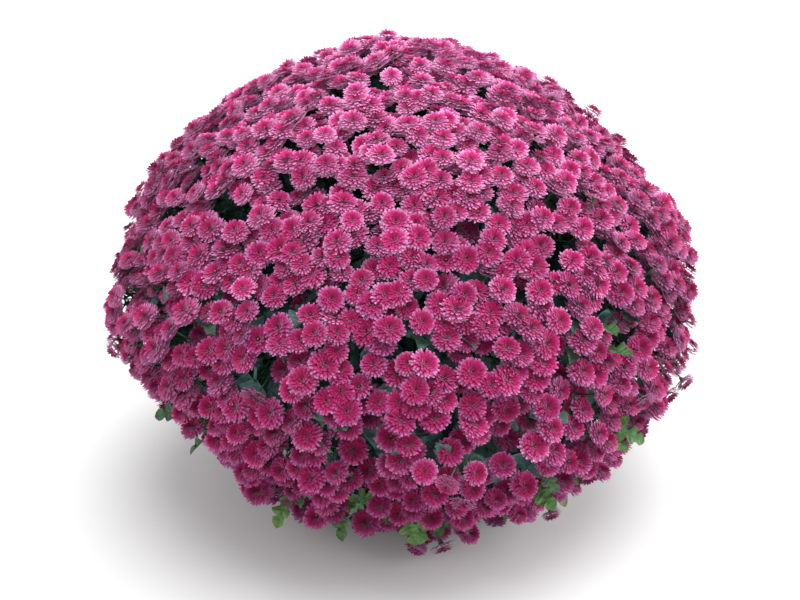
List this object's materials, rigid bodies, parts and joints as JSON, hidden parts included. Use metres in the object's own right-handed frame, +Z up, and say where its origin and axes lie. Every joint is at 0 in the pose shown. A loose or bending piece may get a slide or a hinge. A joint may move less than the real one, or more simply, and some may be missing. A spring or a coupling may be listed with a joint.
{
  "type": "pot chrysanthemum",
  "caption": "Ball-shaped chrysanthemum in full bloom, in a plain tapered nursery pot: leafy stems rise from the soil and carry sprays of double magenta blooms that cover the whole ball.",
  "frame": {"origin": "centre of the pot's flat base, on the surface it stands on", "axes": "+Z up; the plant is grown a little further towards +X low down; the picture looks along +Y"},
  "size_m": [0.7045, 0.7062, 0.5671],
  "materials": {
    "petals": "soft matte petals, magenta with paler tips",
    "foliage": "matte dark green leaves and stems",
    "soil": "crumbly dark potting mix",
    "pot": "moulded dark plastic, slight sheen"
  },
  "bodies": {
    "root": {"pot": "pot", "soil": "soil", "spray_01_stem": "foliage", "spray_01_blooms": "petals", "spray_02_stem": "foliage", "spray_02_blooms": "petals", "spray_03_stem": "foliage", "spray_03_blooms": "petals", "spray_04_stem": "foliage", "spray_04_blooms": "petals", "spray_05_stem": "foliage", "spray_05_blooms": "petals", "spray_06_stem": "foliage", "spray_06_blooms": "petals", "spray_07_stem": "foliage", "spray_07_blooms": "petals", "spray_08_stem": "foliage", "spray_08_blooms": "petals", "spray_09_stem": "foliage", "spray_09_blooms": "petals", "spray_10_stem": "foliage", "spray_10_blooms": "petals", "spray_11_stem": "foliage", "spray_11_blooms": "petals", "spray_12_stem": "foliage", "spray_12_blooms": "petals", "spray_13_stem": "foliage", "spray_13_blooms": "petals", "spray_14_stem": "foliage", "spray_14_blooms": "petals", "spray_15_stem": "foliage", "spray_15_blooms": "petals", "spray_16_stem": "foliage", "spray_16_blooms": "petals", "spray_17_stem": "foliage", "spray_17_blooms": "petals", "spray_18_stem": "foliage", "spray_18_blooms": "petals", "spray_19_stem": "foliage", "spray_19_blooms": "petals", "spray_20_stem": "foliage", "spray_20_blooms": "petals", "spray_21_stem": "foliage", "spray_21_blooms": "petals"}
  },
  "joints": []
}
